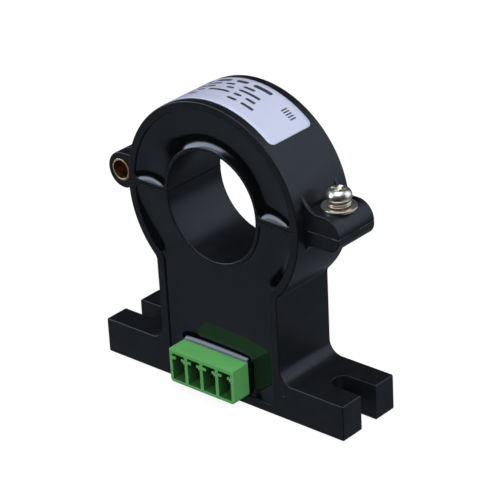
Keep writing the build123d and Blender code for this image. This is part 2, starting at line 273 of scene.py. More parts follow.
def spread(tree, value, fromLow, fromHigh, toLow, toHigh, kind="SMOOTHSTEP"):
    node = addNode(tree, "ShaderNodeMapRange", {"Value": value, "From Min": fromLow, "From Max": fromHigh,
                                                "To Min": toLow, "To Max": toHigh}, interpolation_type=kind)
    return node.outputs["Result"]


def mixColour(tree, factor, first, second):
    return addNode(tree, "ShaderNodeMix", {0: factor, 6: first, 7: second}, data_type="RGBA").outputs[2]


def ownPlace(tree):
    return addNode(tree, "ShaderNodeTexCoord").outputs["Object"]


def ownXyz(tree):
    return addNode(tree, "ShaderNodeSeparateXYZ", {"Vector": ownPlace(tree)}).outputs


def noise(tree, place, scale, detail, roughness=0.5):
    return addNode(tree, "ShaderNodeTexNoise", {"Vector": place, "Scale": scale, "Detail": detail,
                                                "Roughness": roughness}).outputs["Fac"]


def newGroup(name, results, **inputs):
    tree = bpy.data.node_groups.new(name, "ShaderNodeTree")
    for socketName, value in inputs.items():
        kind = "NodeSocketVector" if isinstance(value, tuple) else "NodeSocketFloat"
        socket = tree.interface.new_socket(name=socketName, in_out="INPUT", socket_type=kind)
        socket.default_value = value
    for socketName in results:
        tree.interface.new_socket(name=socketName, in_out="OUTPUT", socket_type="NodeSocketFloat")
    return tree, tree.nodes.new("NodeGroupInput").outputs, tree.nodes.new("NodeGroupOutput").inputs


def useGroup(tree, group, **values):
    return addNode(tree, "ShaderNodeGroup", values, node_tree=group).outputs


def newMaterial(name, **sockets):
    material = bpy.data.materials.new(name)
    material.use_nodes = True
    tree = material.node_tree
    shader = tree.nodes["Principled BSDF"]
    for socket, value in sockets.items():
        shader.inputs[socket.replace("_", " ")].default_value = value
    return material, tree, shader


def dress(tree, shader, colour, roughness, height, strength, distance):
    # colour, gloss and fine relief of a surface
    bump = addNode(tree, "ShaderNodeBump", {"Height": height, "Strength": strength, "Distance": distance})
    wires = {"Base Color": colour, "Roughness": roughness, "Normal": bump.outputs["Normal"]}
    for name, value in wires.items():
        tree.links.new(value, shader.inputs[name])


def makeMouldGrain():
    # fine spark-eroded grain of a moulded surface over a slow change of gloss
    results = ("Roughness", "Height")
    tree, given, result = newGroup("mouldGrain", results, Scale=9000.0, Gloss=0.4, Change=0.06)
    place = ownPlace(tree)
    fine = noise(tree, place, given["Scale"], 3.0, 0.6)
    blended = doMath(tree, "MULTIPLY_ADD", fine, 0.45, times(tree, noise(tree, place, 130.0, 2.0), 0.55))
    centred = doMath(tree, "SUBTRACT", blended, 0.5)
    gloss = doMath(tree, "MULTIPLY_ADD", centred, given["Change"], given["Gloss"])
    tree.links.new(gloss, result["Roughness"])
    tree.links.new(fine, result["Height"])
    return tree


def makeDust():
    # a few pale specks that lie on a dark surface
    tree, given, result = newGroup("dustSpecks", ("Mask",), Spacing=260.0, Size=0.05, Share=0.2)
    cells = addNode(tree, "ShaderNodeTexVoronoi", {"Vector": ownPlace(tree), "Scale": given["Spacing"]})
    near = doMath(tree, "LESS_THAN", cells.outputs["Distance"], given["Size"])
    pick = addNode(tree, "ShaderNodeSeparateColor", {"Color": cells.outputs["Color"]}).outputs["Red"]
    tree.links.new(times(tree, near, doMath(tree, "LESS_THAN", pick, given["Share"])), result["Mask"])
    return tree


def makeHairlines():
    # fine scratches, drawn out along the axes where Stretch is small
    tree, given, result = newGroup("hairlines", ("Mask",), Stretch=(1.0, 1.0, 1.0), Scale=1500.0)
    pulled = addNode(tree, "ShaderNodeVectorMath", {0: ownPlace(tree), 1: given["Stretch"]},
                     operation="MULTIPLY").outputs[0]
    scratches = noise(tree, pulled, given["Scale"], 4.0, 0.65)
    tree.links.new(spread(tree, scratches, 0.42, 0.68, 0.0, 1.0), result["Mask"])
    return tree


mouldGrain = makeMouldGrain()
dustSpecks = makeDust()
hairlines = makeHairlines()

plasticLook = {"colour": (0.0042, 0.0044, 0.0056, 1), "worn": (0.0085, 0.0088, 0.011, 1), "wornShare": 0.6,
               "speck": (0.12, 0.12, 0.13, 1), "gloss": 0.38, "change": 0.16, "grain": 9000.0,
               "grainBump": 0.05,
               # painted highlight along the parting edge, standing in for a rolled edge: between two heights,
               # and from so far out
               "paintedSeamHighlight": (0.11, 0.115, 0.13, 1), "seamLow": 39.03, "seamHigh": 39.15, "seamFrom": 20.8}


def makeHousingPlastic():
    look = plasticLook
    material, tree, shader = newMaterial("housingPlastic", Specular_IOR_Level=0.38)
    surface = useGroup(tree, mouldGrain, Scale=look["grain"], Gloss=look["gloss"], Change=look["change"])
    rubbed = useGroup(tree, hairlines, Stretch=(1.0, 0.35, 1.0), Scale=420.0)["Mask"]
    highlightBreakup = useGroup(tree, hairlines, Stretch=(1.0, 1.0, 0.1), Scale=700.0)["Mask"]
    specks = useGroup(tree, dustSpecks, Spacing=330.0, Size=0.05, Share=0.10)["Mask"]
    out, _, height = ownXyz(tree)
    # a pale line along the parting, broken up in places: painted highlight
    paintedSeamHighlight = times(tree, doMath(tree, "GREATER_THAN", height, look["seamLow"] * mm),
                 doMath(tree, "LESS_THAN", height, look["seamHigh"] * mm))
    paintedSeamHighlight = times(tree, paintedSeamHighlight, doMath(tree, "GREATER_THAN", out, look["seamFrom"] * mm))
    paintedSeamHighlight = times(tree, paintedSeamHighlight, doMath(tree, "MULTIPLY_ADD", highlightBreakup, 0.8, 0.2))
    colour = mixColour(tree, times(tree, rubbed, look["wornShare"]), look["colour"], look["worn"])
    colour = mixColour(tree, specks, mixColour(tree, paintedSeamHighlight, colour, look["paintedSeamHighlight"]), look["speck"])
    dress(tree, shader, colour, surface["Roughness"], surface["Height"], look["grainBump"], 0.00004)
    return material


resinLook = {"colour": (0.0018, 0.0019, 0.0024, 1), "cloud": (0.003, 0.0032, 0.004, 1),
             "speck": (0.2, 0.2, 0.21, 1), "gloss": 0.035}


def makeResin():
    look = resinLook
    material, tree, shader = newMaterial("pottingResin", Specular_IOR_Level=0.55)
    surface = useGroup(tree, mouldGrain, Scale=900.0, Gloss=look["gloss"], Change=0.04)
    cloud = useGroup(tree, hairlines, Scale=90.0)["Mask"]
    specks = useGroup(tree, dustSpecks, Spacing=240.0, Size=0.04, Share=0.12)["Mask"]
    colour = mixColour(tree, specks, mixColour(tree, cloud, look["colour"], look["cloud"]), look["speck"])
    roughness = doMath(tree, "MULTIPLY_ADD", specks, 0.4, surface["Roughness"])
    dress(tree, shader, colour, roughness, cloud, 0.04, 0.00005)
    return material


def makeMetal(name, colour, tarnish, gloss, scale=900.0, stretch=(1.0, 0.15, 1.0), bump=0.05, metallic=1.0):
    material, tree, shader = newMaterial(name, Metallic=metallic)
    lines = useGroup(tree, hairlines, Stretch=stretch, Scale=scale)["Mask"]
    surface = useGroup(tree, mouldGrain, Scale=2600.0, Gloss=gloss, Change=0.14)
    spots = useGroup(tree, hairlines, Scale=520.0)["Mask"]
    roughness = doMath(tree, "MULTIPLY_ADD", lines, 0.1, surface["Roughness"])
    tarnished = mixColour(tree, times(tree, spots, 0.7), colour, tarnish)
    dress(tree, shader, tarnished, roughness, lines, bump, 0.00003)
    return material


socketLook = {"colour": (0.118, 0.405, 0.121, 1), "shade": (0.094, 0.34, 0.098, 1), "gloss": 0.44,
              "inside": 0.24}  # painted shade: share of the socket's colour and gloss that the chambers' inner faces keep


# a share below 1 gives a darker copy of the plastic, used as painted shade
def makeSocketPlastic(name, paintedShadeFactor=1.0):
    look = socketLook
    material, tree, shader = newMaterial(name, Specular_IOR_Level=0.1 * paintedShadeFactor)
    surface = useGroup(tree, mouldGrain, Scale=5200.0, Gloss=look["gloss"], Change=0.18)
    streaks = useGroup(tree, hairlines, Stretch=(0.5, 1.4, 0.5), Scale=300.0)["Mask"]
    first, second = [(*(part * paintedShadeFactor for part in look[key][:3]), 1) for key in ("colour", "shade")]
    dress(tree, shader, mixColour(tree, times(tree, streaks, 0.5), first, second), surface["Roughness"],
          surface["Height"], 0.06, 0.00004)
    return material


def makePlain(name, colour, shade, gloss, scale=900.0):
    # hidden parts: two shades in a fine grain, and a gloss that varies
    material, tree, shader = newMaterial(name)
    surface = useGroup(tree, mouldGrain, Scale=scale * 4, Gloss=gloss, Change=0.2)
    patches = useGroup(tree, hairlines, Scale=scale)["Mask"]
    mixed = mixColour(tree, patches, colour, shade)
    dress(tree, shader, mixed, surface["Roughness"], surface["Height"], 0.05, 0.00004)
    return material


def makeCoreSteel():
    # wound strip: fine layers across the depth of the core
    material, tree, shader = newMaterial("coreSteel", Metallic=1.0)
    layers = addNode(tree, "ShaderNodeTexWave", {"Vector": ownPlace(tree), "Scale": 520.0, "Distortion": 0.4,
                                                 "Detail": 1.0}, bands_direction="Y").outputs["Fac"]
    lines = useGroup(tree, hairlines, Stretch=(1.0, 14.0, 1.0), Scale=260.0)["Mask"]
    colour = mixColour(tree, lines, (0.32, 0.31, 0.3, 1), (0.16, 0.15, 0.15, 1))
    dress(tree, shader, colour, doMath(tree, "MULTIPLY_ADD", layers, 0.25, 0.3), layers, 0.35, 0.00005)
    return material


labelLook = {"paper": (0.515, 0.555, 0.72, 1), "shade": (0.475, 0.515, 0.66, 1),
             "ink": (0.022, 0.02, 0.034, 1), "inkShare": 0.96, "radius": 20.12, "centreZ": 39.2,
             # rows of plain bars: middle across the label, half height, then start and end of each bar
             "rows": [(4.0, 0.5, (-11, -8.2), (-7, -3.4), (-2.2, 0.6), (1.8, 6.2)),
                      (2.4, 0.36, (-12.4, -9), (-8, -4.4), (-3.4, -1.2), (0.8, 3.5)),
                      (0.9, 0.36, (-12.8, -10.6), (-9.6, -4.6), (-2, -0.2), (1, 6)),
                      (-0.8, 0.36, (-12.8, -8.6), (-7.6, -5.8), (-4.8, 0.2), (1.2, 3), (4, 6.3)),
                      (-2.6, 0.36, (-12.8, -9.6), (-8.6, -6.2), (1.2, 3.4), (4.4, 7.4))],
             # a short block of upright stripes: middle along and across, half length, half height
             "block": (11.2, 2.8, 1.5, 0.8), "stripesPerMillimetre": 1.6667}


def makeInkBar():
    # one plain bar with round ends
    tree, given, result = newGroup("inkBar", ("Mask",), Along=0.0, Across=0.0, Middle=0.0, Start=0.0, End=1.0,
                                   Half=0.3)
    before = doMath(tree, "SUBTRACT", given["Start"], given["Along"])
    after = doMath(tree, "SUBTRACT", given["Along"], given["End"])
    past = doMath(tree, "MAXIMUM", doMath(tree, "MAXIMUM", before, after), 0.0)
    beside = doMath(tree, "SUBTRACT", given["Across"], given["Middle"])
    square = doMath(tree, "MULTIPLY_ADD", past, past, times(tree, beside, beside))
    edge = doMath(tree, "DIVIDE", doMath(tree, "SQRT", square), given["Half"])
    tree.links.new(spread(tree, edge, 0.88, 1.0, 1.0, 0.0), result["Mask"])
    return tree


def makeLabelPaper():
    look = labelLook
    material, tree, shader = newMaterial("labelFilm", Specular_IOR_Level=0.4)
    x, y, z = ownXyz(tree)
    turn = doMath(tree, "ARCTAN2", x, doMath(tree, "SUBTRACT", z, look["centreZ"] * mm))
    along = times(tree, turn, look["radius"])
    across = times(tree, y, 1000.0)
    inkBar = makeInkBar()
    ink = 0.0
    for middle, half, *bars in look["rows"]:
        for start, end in bars:
            bar = useGroup(tree, inkBar, Along=along, Across=across, Middle=middle, Start=start + half,
                           End=end - half, Half=half)["Mask"]
            ink = doMath(tree, "MAXIMUM", ink, bar)
    middleAlong, middleAcross, halfLength, halfHeight = look["block"]
    fromMiddle = doMath(tree, "SUBTRACT", along, middleAlong)
    offRow = doMath(tree, "ABSOLUTE", doMath(tree, "SUBTRACT", across, middleAcross))
    inBlock = times(tree, doMath(tree, "LESS_THAN", doMath(tree, "ABSOLUTE", fromMiddle), halfLength),
                    doMath(tree, "LESS_THAN", offRow, halfHeight))
    count = times(tree, fromMiddle, look["stripesPerMillimetre"])
    stripe = doMath(tree, "LESS_THAN", doMath(tree, "FRACT", count), 0.5)
    ink = doMath(tree, "MAXIMUM", ink, times(tree, inBlock, stripe))
    surface = useGroup(tree, mouldGrain, Scale=3000.0, Gloss=0.42, Change=0.15)
    mottle = useGroup(tree, hairlines, Scale=170.0)["Mask"]
    paper = mixColour(tree, times(tree, mottle, 0.5), look["paper"], look["shade"])
    dress(tree, shader, mixColour(tree, times(tree, ink, look["inkShare"]), paper, look["ink"]),
          surface["Roughness"], surface["Height"], 0.04, 0.00003)
    return material


housingPlastic = makeHousingPlastic()
pottingResin = makeResin()
nickel = makeMetal("nickelPlate", (1.0, 0.91, 0.75, 1), (0.88, 0.75, 0.55, 1), 0.29, 700.0, (1.0, 1.0, 9.0),
                   0.012)
brassTube = makeMetal("brass", (0.95, 0.74, 0.38, 1), (0.66, 0.45, 0.2, 1), 0.36)
# darker copy of the brass for the inside of the hinge pin: painted shade in the bore
brassPaintedShade = makeMetal("brassPaintedShade", (0.5, 0.3, 0.09, 1), (0.26, 0.14, 0.04, 1), 0.42)
tinPlate = makeMetal("tinPlate", (0.95, 0.95, 0.94, 1), (0.8, 0.79, 0.77, 1), 0.32, 800.0, metallic=0.2)
socketPlastic = makeSocketPlastic("socketPlastic")
# darker copy of the socket plastic: painted shade inside the chambers
socketPaintedShade = makeSocketPlastic("socketPaintedShade", socketLook["inside"])
labelFilm = makeLabelPaper()
coreSteel = makeCoreSteel()
chipEpoxy = makePlain("chipEpoxy", (0.016, 0.016, 0.018, 1), (0.028, 0.028, 0.03, 1), 0.55)
boardMask = makePlain("solderMask", (0.01, 0.085, 0.03, 1), (0.018, 0.13, 0.05, 1), 0.25, 500.0)
trimmerBlue = makePlain("trimmerPlastic", (0.02, 0.11, 0.42, 1), (0.03, 0.15, 0.5, 1), 0.35)
capacitorTan = makePlain("capacitorCeramic", (0.38, 0.25, 0.14, 1), (0.3, 0.19, 0.1, 1), 0.45)
print("materials made:", len(bpy.data.materials))


# The lower housing: base with two slots, column, lower half of the ring, screw lug and hinge tongue.

ring = {"parting": 39.2, "lowCentre": 38.5, "outer": 20.0, "aperture": 10.5, "front": -7.4, "back": 7.4,
        "upperLevel": 39.26, "lowerLevel": 39.14, "pocketOuter": 18.3, "pocketInner": 11.3, "pocketBack": 5.9,
        "endWall": 0.8, "pocketRound": 0.8, "root": 19.15, "edge": 0.22, "mouthEdge": 0.2,
        "core": (12.2, 17.2, -3.1, 4.9), "windowDepth": 2, "past": 1,  # past the parting plane
        # how far the outside stands out, and over which distances and heights that starts and ends
        "bulge": 0.4, "bulgeIn": (15, 18), "bulgeOut": (24, 21), "bulgeRise": (20, 28)}
base = {"half": 29.25, "top": 7.2, "columnHalf": 14.5, "footRound": 2.8, "neckRound": 1.5,
        "cornerRound": 0.35, "slotHalf": 2.2, "slotEnd": 21.35, "slotEdge": 0.16, "slotPast": 35,
        "pocketHalf": 12.6, "pocketFloor": 1.9, "pocketNeck": 2.5}
lug = {"half": 5.1, "rise": 3.6, "roundMiddle": 24.2, "sweep": 4.1, "end": 27.8, "drop": 3.0, "corner": 2.4,
       "rootRound": 1.8, "seat": 3.4, "seatSink": 0.01, "seatHalf": 4.3, "seatInner": 10, "seatPast": 20,
       "screw": 24.0, "hole": 1.45, "holeEdge": 0.12, "insert": 1.9, "insertFloor": 36.49, "edge": 0.22}
hinge = {"x": -24.5, "middle": -24.0, "radius": 3.6, "rootRound": 1.5, "half": 5.1, "tongueHalf": 2.4,
         "forkInner": 2.5, "pinOuter": 2.15, "pinInner": 1.8, "pinEdge": 0.06, "tongueBore": 2.2,
         "tongueBoreEdge": 0.1, "forkBoreEdge": 0.12, "edge": 0.2}


def bulged(points):
    # the ring's outside stands out a little at both sides of the parting plane
    result = []
    for x, z in points:
        reach = hypot(x, z - ring["parting"])
        share = ramp(reach, *ring["bulgeIn"]) * ramp(reach, *ring["bulgeOut"])
        share *= (x / max(reach, 1)) ** 2 * ramp(z, *ring["bulgeRise"])
        result.append((x + (ring["bulge"] * share if x > 0 else -ring["bulge"] * share), z))
    return result


def neck(half, radius, blend):
    # where a round of the given radius joins the column to the ring
    reach = half + blend
    z = ring["lowCentre"] - sqrt((radius + blend) ** 2 - reach ** 2)
    return reach, z, degrees(atan2(ring["lowCentre"] - z, reach))


def lowerOutline():
    c, f = base["cornerRound"], base["footRound"]
    half = [(0, 0)] + arc(base["half"] - c, c, c, -90, 0, 5)
    half += arc(base["half"] - c, base["top"] - c, c, 0, 90, 5)
    half += arc(base["columnHalf"] + f, base["top"] + f, f, 270, 180, 16)
    x, z, turn = neck(base["columnHalf"], ring["outer"], base["neckRound"])
    half += arc(x, z, base["neckRound"], 180, 180 - turn, 10)
    half += arc(0, ring["lowCentre"], ring["outer"], -turn, 0, 30)
    half += [(ring["outer"], ring["lowerLevel"]), (ring["aperture"], ring["lowerLevel"])]
    return bulged(mirrored(half + arc(0, ring["lowCentre"], ring["aperture"], 0, -90, 48)))


def pocketEnd(level, side, centre):
    # the two rounds of a ring pocket beside the parting plane
    r = ring["pocketRound"]
    z = level + side * r
    outer = blendPoint(centre, ring["pocketOuter"], r, z, False)
    return z, outer, blendPoint(centre, ring["pocketInner"], r, z)


def lowerPocket():
    r, centre = ring["pocketRound"], ring["lowCentre"]
    half = [(0, base["pocketFloor"])] + arc(base["pocketHalf"] - r, base["pocketFloor"] + r, r, -90, 0, 8)
    x, z, turn = neck(base["pocketHalf"], ring["pocketOuter"], base["pocketNeck"])
    half += arc(x, z, base["pocketNeck"], 180, 180 - turn, 14)
    z, outer, inner = pocketEnd(ring["parting"] - ring["endWall"], -1, centre)
    half += arc(0, centre, ring["pocketOuter"], -turn, outer[1], 30)
    half += arc(outer[0], z, r, outer[1], 90, 8) + arc(inner[0], z, r, 90, 180 + inner[1], 8)
    return mirrored(half + arc(0, centre, ring["pocketInner"], inner[1], -90, 44))


def rootCurve(centre, level, face, blend, start, steps, side=1):
    # from inside the ring's wall along a round to the lower or upper face of the lug or the hinge
    z = face + blend if face > centre else face - blend
    x, turn = blendPoint(centre, ring["outer"], blend, z)
    curve = [(ring["root"], level)] + arc(0, centre, ring["root"], start, turn, 8)
    curve += arc(x, z, blend, 180 + turn, 270 if face > centre else 90, steps)
    return [(side * x, z) for x, z in curve]


def lowerLug():
    level, floor = ring["lowerLevel"], ring["parting"] - lug["drop"]
    outline = rootCurve(ring["lowCentre"], level, floor, lug["rootRound"], 0, 10)
    outline += arc(lug["end"] - lug["corner"], floor + lug["corner"], lug["corner"], -90, 0, 16)
    outline.append((lug["end"], level))
    return softSlab("lowerLug", bulged(outline), -lug["half"], lug["half"], lug["edge"], level)


def tongue():
    level, floor = ring["lowerLevel"], ring["parting"] - hinge["radius"]
    outline = rootCurve(ring["lowCentre"], level, floor, hinge["rootRound"], 0, 8, -1)
    outline += arc(hinge["middle"], ring["parting"], hinge["radius"], 270, -1, 48)
    return softSlab("tongue", bulged(outline), -hinge["tongueHalf"], hinge["tongueHalf"], hinge["edge"])


# What both housings have: the slab they start from, and cutters for their openings.

def housingSlab(name, outline, level):
    return softSlab(name, outline, ring["front"], ring["back"], ring["edge"], level)


def resinPocket(outline):
    return softCutter("pocket", bulged(outline), ring["front"], ring["pocketBack"], ring["mouthEdge"])


def poleWindows(low, high):
    inner, outer, front, back = ring["core"]
    for side in (-1, 1):
        outline = box(*sorted((side * inner, side * outer)), front, back)
        yield loft("window", [(outline, low), (outline, high)], toXY)


def hingeBore(radius, half, edge):
    return softCutter("bore", circle(hinge["x"], ring["parting"], radius), -half, half, edge, True, True)


def screwHole(low, high, highOpen):
    outline = circle(lug["screw"], 0, lug["hole"], 40)
    return softCutter("hole", outline, low, high, lug["holeEdge"], True, highOpen, place=toXY)


def makeLowerHousing():
    p = ring["parting"]
    piece = housingSlab("lowerHousing", lowerOutline(), ring["lowerLevel"])
    join(piece, lowerLug(), tongue())
    cut(piece, resinPocket(lowerPocket()), *poleWindows(p - ring["windowDepth"], p + ring["past"]))
    for side in (-1, 1):
        middle = side * (base["slotEnd"] + base["slotHalf"])
        outline = arc(middle, 0, base["slotHalf"], 90, 90 + side * 180, 24)
        outline += [(side * base["slotPast"], end * base["slotHalf"]) for end in (-1, 1)]
        cut(piece, softCutter("slot", outline, 0, base["top"], base["slotEdge"], True, True, place=toXY))
    well = circle(lug["screw"], 0, lug["insert"])
    cut(piece, hingeBore(hinge["tongueBore"], hinge["tongueHalf"], hinge["tongueBoreEdge"]),
        softCutter("well", well, lug["insertFloor"], p + ring["past"], lowOpen=False, place=toXY),
        screwHole(p - lug["drop"], p, False))
    return finishPiece(piece, "base", housingPlastic, "housing", "lower_housing")


# The upper housing: half ring, screw lug with the washer seat, and the fork of the hinge.

def upperOutline():
    p, level = ring["parting"], ring["upperLevel"]
    lift = degrees(asin((level - p) / ring["outer"]))
    half = arc(0, p, ring["outer"], 90, lift, 52)
    half[-1] = (half[-1][0], level)
    lift = degrees(asin((level - p) / ring["aperture"]))
    inner = arc(0, p, ring["aperture"], lift, 90, 48)
    inner[0] = (inner[0][0], level)
    return bulged(mirrored(half + inner))


def upperPocket():
    r, p = ring["pocketRound"], ring["parting"]
    z, outer, inner = pocketEnd(p + ring["endWall"], 1, p)
    half = arc(0, p, ring["pocketInner"], 90, inner[1], 44) + arc(inner[0], z, r, 180 + inner[1], 270, 8)
    half += arc(outer[0], z, r, -90, outer[1], 8) + arc(0, p, ring["pocketOuter"], outer[1], 90, 48)
    return mirrored(half)


def upperLug():
    p, level = ring["parting"], ring["upperLevel"]
    outline = rootCurve(p, level, p + lug["rise"], lug["sweep"], 1, 18)
    outline += arc(lug["roundMiddle"], p, lug["rise"], 90, 2, 26) + [(lug["end"], level)]
    piece = softSlab("upperLug", bulged(outline), -lug["half"], lug["half"], lug["edge"], level)
    seat = arc(lug["screw"], 0, lug["seatHalf"], 90, -90, 40)
    seat += [(lug["seatInner"], side * lug["seatHalf"]) for side in (-1, 1)]
    floor = p + lug["seat"] - lug["seatSink"]  # just clear of the flat washer
    cut(piece, softCutter("seat", seat, floor, p + lug["seatPast"], lowOpen=False, place=toXY))
    return piece


def forkArm(low):
    p = ring["parting"]
    outline = rootCurve(p, ring["upperLevel"], p + hinge["radius"], hinge["rootRound"], 1, 8, -1)
    outline += arc(hinge["middle"], p, hinge["radius"], 90, 361, 48)
    return softSlab("forkArm", bulged(outline), low, low + hinge["half"] - hinge["forkInner"], hinge["edge"])


def makeUpperHousing():
    p = ring["parting"]
    piece = housingSlab("upperHousing", upperOutline(), ring["upperLevel"])
    join(piece, upperLug(), forkArm(-hinge["half"]), forkArm(hinge["forkInner"]))
    cut(piece, resinPocket(upperPocket()), *poleWindows(p - ring["past"], p + ring["windowDepth"]),
        hingeBore(hinge["pinOuter"], hinge["half"], hinge["forkBoreEdge"]),
        screwHole(p, p + lug["seat"], True))
    return finishPiece(piece, "jaw", housingPlastic, "housing", "upper_housing")


makeLowerHousing()
makeUpperHousing()
print("housings made")


# The resin, a skin that climbs a little at every wall it wets.

resinFill = {"grid": 0.36, "insets": (0.07, 0.16, 0.28, 0.42, 0.58), "step": 0.3, "clear": 0.72, "back": 5.9,
             "wave": 0.02, "waveAcross": (0.31, 0.6), "waveUp": (0.23, 1.1), "level": -7.1, "endHeight": 3,
             # at each wall: how high the resin climbs and how far out, how deep it dips and how far out
             "lower": {"centre": 38.5, "tube": (0, 1.5, 0, 3), "ring": (1.9, 1.7, 1.6, 3.2),
                       "end": (0, 1.5, 0, 3), "column": (0, 1.5, 0, 3), "socket": (2.7, 1.5, 2.4, 2.9)},
             "upper": {"centre": 39.2, "tube": (2.1, 1.7, 1.8, 4.5), "ring": (0, 1.5, 0, 4),
                       "end": (3.0, 1.6, 2.7, 3.4)},
             # where the climb fades: below the parting plane, above the neck, and across on the tube
             "calmParting": (37.8, 32.8), "calmNeck": 1.6, "calmHinge": (-8.6, -5.4),
             "cornerFade": 0.8, "endMiddle": 14.9, "endHalf": 3.6}


def divided(outline, step):
    # the same outline with points no further apart than the step
    result = []
    for a, b in zip(outline, outline[1:] + outline[:1]):
        parts = max(1, ceil(hypot(b[0] - a[0], b[1] - a[1]) / step))
        result += [(a[0] + (b[0] - a[0]) * i / parts, a[1] + (b[1] - a[1]) * i / parts) for i in range(parts)]
    return result


def wallKind(x, z, centre):
    reach = hypot(x, z - centre)
    if abs(reach - ring["pocketInner"]) < 0.05:
        return "tube"
    if abs(reach - ring["pocketOuter"]) < 0.05:
        return "ring"
    return "end" if z > ring["parting"] - resinFill["endHeight"] else "column"


def distanceTo(points, outline):
    start = np.array(outline)
    step = np.roll(start, -1, axis=0) - start
    away = points[:, None, :] - start[None, :, :]
    share = np.clip((away * step).sum(2) / (step * step).sum(1), 0, 1)
    return np.linalg.norm(away - share[:, :, None] * step, axis=2).min(axis=1)


def isInside(points, outline):
    start = np.array(outline)
    end = np.roll(start, -1, axis=0)
    x, z = points[:, 0][:, None], points[:, 1][:, None]
    crosses = (start[:, 1] > z) != (end[:, 1] > z)
    with np.errstate(divide="ignore", invalid="ignore"):
        at = start[:, 0] + (z - start[:, 1]) * (end[:, 0] - start[:, 0]) / (end[:, 1] - start[:, 1])
    return (crosses & (x < at)).sum(axis=1) % 2 == 1


def ringEdges(count, first=0):
    return [(first + i, first + (i + 1) % count) for i in range(count)]


def triangulated(points, edges):
    flat, _, faces, _, _, _ = delaunay_2d_cdt([Vector(p) for p in points], edges, [], 1, 1e-5)
    return np.array([(p.x, p.y) for p in flat]), faces


def sheet(name, front, back, faces):
    # two skins over the same faces, with walls wherever these have a free edge
    bm = bmesh.new()
    front, back = [[bm.verts.new(spot) for spot in spots] for spots in (front, back)]
    for face in faces:
        bm.faces.new([front[i] for i in face])
        bm.faces.new([back[i] for i in reversed(face)])
    pairs = dict(zip(front, back))
    for edge in [e for e in bm.edges if len(e.link_faces) == 1 and e.verts[0] in pairs]:
        one, two = edge.verts
        bm.faces.new((one, two, pairs[two], pairs[one]))
    bmesh.ops.delete(bm, geom=[v for v in bm.verts if not v.link_faces], context="VERTS")
    return newPiece(name, bm)


def meshPoints(outline, island):
    # outline points, rows of points beside each wall, then an even grid
    spec = resinFill
    walls = [outline] + ([island] if island else [])
    points = [p for wall in walls for p in wall]
    edges = ringEdges(len(outline)) + ringEdges(len(island or []), len(outline))
    for inset in spec["insets"]:
        points += grown(outline, -inset)
        if island:
            points += grown(island, inset)
    low, high = np.min(outline, axis=0), np.max(outline, axis=0)
    columns, rows = [int(ceil((high[k] - low[k]) / spec["grid"])) for k in (0, 1)]
    grid = np.array([(low[0] + (i + 0.5 * (j % 2)) * spec["grid"], low[1] + j * spec["grid"])
                     for j in range(rows + 1) for i in range(columns + 1)])
    keep = isInside(grid, outline) & (distanceTo(grid, outline) > spec["clear"])
    if island:
        keep &= ~isInside(grid, island) & (distanceTo(grid, island) > spec["clear"])
    return points + [tuple(p) for p in grid[keep]], edges


def settled(spots, faces, held, reach):
    # how far a liquid that wets its walls climbs at each point, where held gives it at the walls
    corners = np.array(faces)
    weights, ends, area = [], [], np.zeros(len(spots))
    for k in range(3):
        a, b, c = corners[:, k], corners[:, (k + 1) % 3], corners[:, (k + 2) % 3]
        one, two = spots[a] - spots[c], spots[b] - spots[c]
        cross = np.abs(one[:, 0] * two[:, 1] - one[:, 1] * two[:, 0])
        weights.append((one * two).sum(1) / np.maximum(cross, 1e-9) / 2)
        ends.append(np.stack((a, b), 1))
        area += np.bincount(a, cross / 6, len(spots))
    weights, ends = np.concatenate(weights), np.concatenate(ends)
    fixed = ~np.isnan(held)
    value = np.where(fixed, held, 0.0)

    def pull(h):
        flow = weights * (h[ends[:, 0]] - h[ends[:, 1]])
        total = np.bincount(ends[:, 0], flow, len(h)) - np.bincount(ends[:, 1], flow, len(h))
        return np.where(fixed, 0.0, total + area * h / reach ** 2)

    rest = -pull(value)  # conjugate gradients
    way, size = rest.copy(), (rest * rest).sum()
    for _ in range(600):
        moved = pull(way)
        step = size / max((way * moved).sum(), 1e-30)
        value += step * way
        rest -= step * moved
        newSize = (rest * rest).sum()
        if newSize < 1e-12:
            break
        way, size = rest + way * newSize / size, newSize
    return value


def nearby(spots, walls, values):
    # a value of the walls taken over to the points, from the nearest ones most
    weight = 1 / (np.linalg.norm(spots[:, None, :] - walls[None, :, :], axis=2) ** 3 + 0.02)
    return (weight * values).sum(1) / weight.sum(1)


def liveliness(kind, x, z, neckEnd):
    # share of the climb that is left at a point of the wall
    spec = resinFill
    if kind == "ring" and z < ring["parting"]:
        return ramp(z, *spec["calmParting"]) * ramp(z, neckEnd, neckEnd + spec["calmNeck"])
    if kind == "tube" and z > ring["parting"]:
        return ramp(x, *spec["calmHinge"])
    if kind == "end" and z > ring["parting"]:  # lower towards both corners
        return 1 - spec["cornerFade"] * ((abs(x) - spec["endMiddle"]) / spec["endHalf"]) ** 2
    return 1.0


